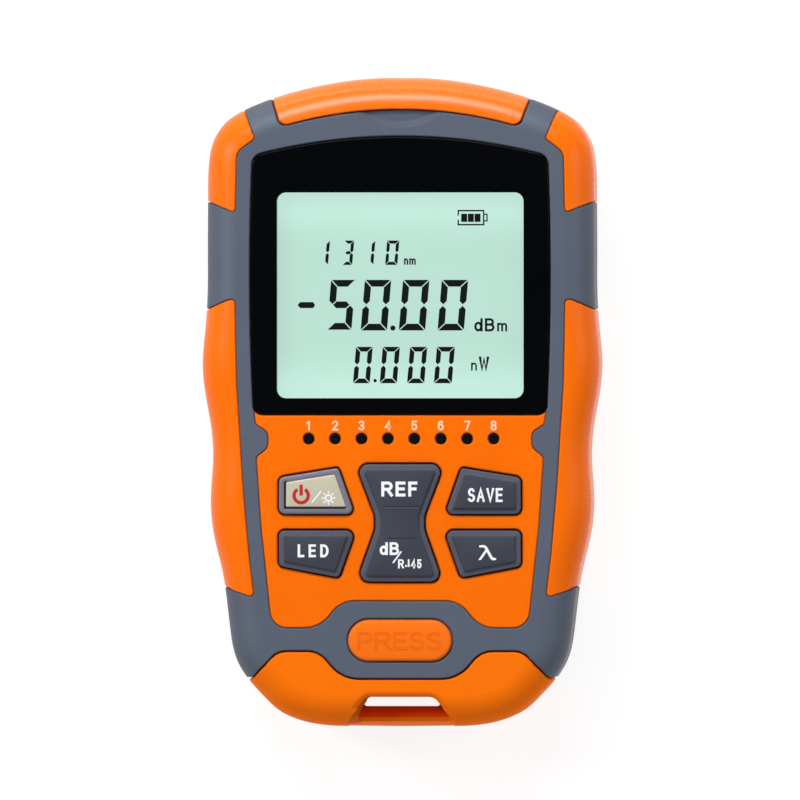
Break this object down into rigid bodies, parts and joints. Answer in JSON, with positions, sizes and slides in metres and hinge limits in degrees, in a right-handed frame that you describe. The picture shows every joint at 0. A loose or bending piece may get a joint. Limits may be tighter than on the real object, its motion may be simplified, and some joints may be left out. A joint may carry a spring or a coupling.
{
  "type": "optical power meter",
  "caption": "Pocket fibre tester: display and keys on the face, hinged dust cover over the ports at the head, and a remote unit with a lanyard bar that pulls off the foot.",
  "frame": {"origin": "centre of the bounding box in X and Y, on the plane it rests on", "axes": "lying on its back: +X right, +Y toward the head with the ports, +Z out of the face"},
  "size_m": [0.0756, 0.1235, 0.0281],
  "materials": {
    "abs_orange": "satin moulded ABS, fine texture",
    "abs_orange_bright": "satin moulded ABS",
    "tpe_grey": "matte soft-touch overmould",
    "abs_black": "matte black moulding",
    "lens_black": "polished black window",
    "lcd": "lit liquid-crystal display",
    "acrylic": "moulded light guide",
    "pcb_green": "solder mask",
    "chip_black": "moulded packages",
    "led_body": "small lamp packages",
    "pipe_clear": "tinted clear light pipes",
    "key_ring": "satin key ring",
    "key_insert": "translucent insert",
    "key_grey": "matte keys with a satin rim",
    "silicone": "silicone rubber",
    "steel": "plain steel",
    "nickel": "nickel plated",
    "ceramic": "zirconia sleeve",
    "brass": "turned brass",
    "gold": "gold-plated contacts",
    "clear_plastic": "clear lamp body",
    "cell_wrap": "printed cell sleeve, plain colours"
  },
  "bodies": {
    "main_unit": {"front_shell": "abs_orange", "front_overmould": "tpe_grey", "rear_shell": "abs_orange", "rear_overmould": "tpe_grey", "cover_hinge_pin": "steel", "port_plate": "abs_black", "opm_adapter": "nickel", "opm_sleeve": "ceramic", "photodetector": "nickel", "vfl_sleeve": "nickel", "vfl_laser_module": "brass", "torch_led": "clear_plastic", "rj45_jack": "abs_black", "rj45_contacts": "gold", "lens_window": "lens_black", "lcd_panel": "lcd", "backlight_guide": "acrylic", "main_pcb": "pcb_green", "pcb_screws": "steel", "board_chips": "chip_black", "buzzer": "chip_black", "indicator_leds": "led_body", "led_light_pipes": "pipe_clear", "rocker_pin": "steel", "keypad_membrane": "silicone", "dome_power": "silicone", "dome_save": "silicone", "dome_led": "silicone", "dome_lambda": "silicone", "rocker_domes": "silicone", "button_carrier": "abs_black", "press_spring": "steel", "latch_leaf": "steel", "aaa_cells": "cell_wrap", "contact_plates": "steel", "contact_springs": "steel", "case_screws": "steel"},
    "cover": {"top_cover": "abs_orange"},
    "power_key": {"key_power": "key_ring", "key_power_insert": "key_insert"},
    "led_key": {"key_led": "key_grey"},
    "save_key": {"key_save": "key_grey"},
    "lambda_key": {"key_lambda": "key_grey"},
    "rocker_key": {"key_rocker": "key_grey"},
    "press_key": {"press_button": "abs_orange_bright"},
    "remote_unit": {"remote_front_shell": "abs_orange", "remote_rear_shell": "abs_orange", "remote_jack": "abs_black", "remote_contacts": "gold", "remote_pcb": "pcb_green", "remote_screws": "steel"},
    "battery_cover": {"battery_door": "abs_black"}
  },
  "joints": [
    {"name": "cover_hinge", "type": "hinge", "parent": "main_unit", "child": "cover", "pos_m": [0, 0.0575, 0.006], "axis": [-1, 0, 0], "range_deg": [0, 90]},
    {"name": "power_press", "type": "slide", "parent": "main_unit", "child": "power_key", "axis": [0, 0, -1], "range_m": [0, 0.0008], "stiffness_N_per_m": 600, "springref_m": -0.0006, "deforming": ["dome_power"]},
    {"name": "led_press", "type": "slide", "parent": "main_unit", "child": "led_key", "axis": [0, 0, -1], "range_m": [0, 0.0008], "stiffness_N_per_m": 600, "springref_m": -0.0006, "deforming": ["dome_led"]},
    {"name": "save_press", "type": "slide", "parent": "main_unit", "child": "save_key", "axis": [0, 0, -1], "range_m": [0, 0.0008], "stiffness_N_per_m": 600, "springref_m": -0.0006, "deforming": ["dome_save"]},
    {"name": "lambda_press", "type": "slide", "parent": "main_unit", "child": "lambda_key", "axis": [0, 0, -1], "range_m": [0, 0.0008], "stiffness_N_per_m": 600, "springref_m": -0.0006, "deforming": ["dome_lambda"]},
    {"name": "rocker_tilt", "type": "hinge", "parent": "main_unit", "child": "rocker_key", "pos_m": [0, -0.02288, 0.0227], "axis": [1, 0, 0], "range_deg": [-2.2, 2.2], "stiffness_Nm_per_rad": 0.16},
    {"name": "press_slide", "type": "slide", "parent": "main_unit", "child": "press_key", "axis": [0, 0, -1], "range_m": [0, 0.0012], "stiffness_N_per_m": 500, "springref_m": -0.0008, "deforming": ["press_spring", "latch_leaf"]},
    {"name": "remote_slide", "type": "slide", "parent": "main_unit", "child": "remote_unit", "axis": [0, -1, 0], "range_m": [0, 0.04]},
    {"name": "battery_door_lift", "type": "slide", "parent": "main_unit", "child": "battery_cover", "axis": [0, 0, -1], "range_m": [0, 0.014]}
  ]
}
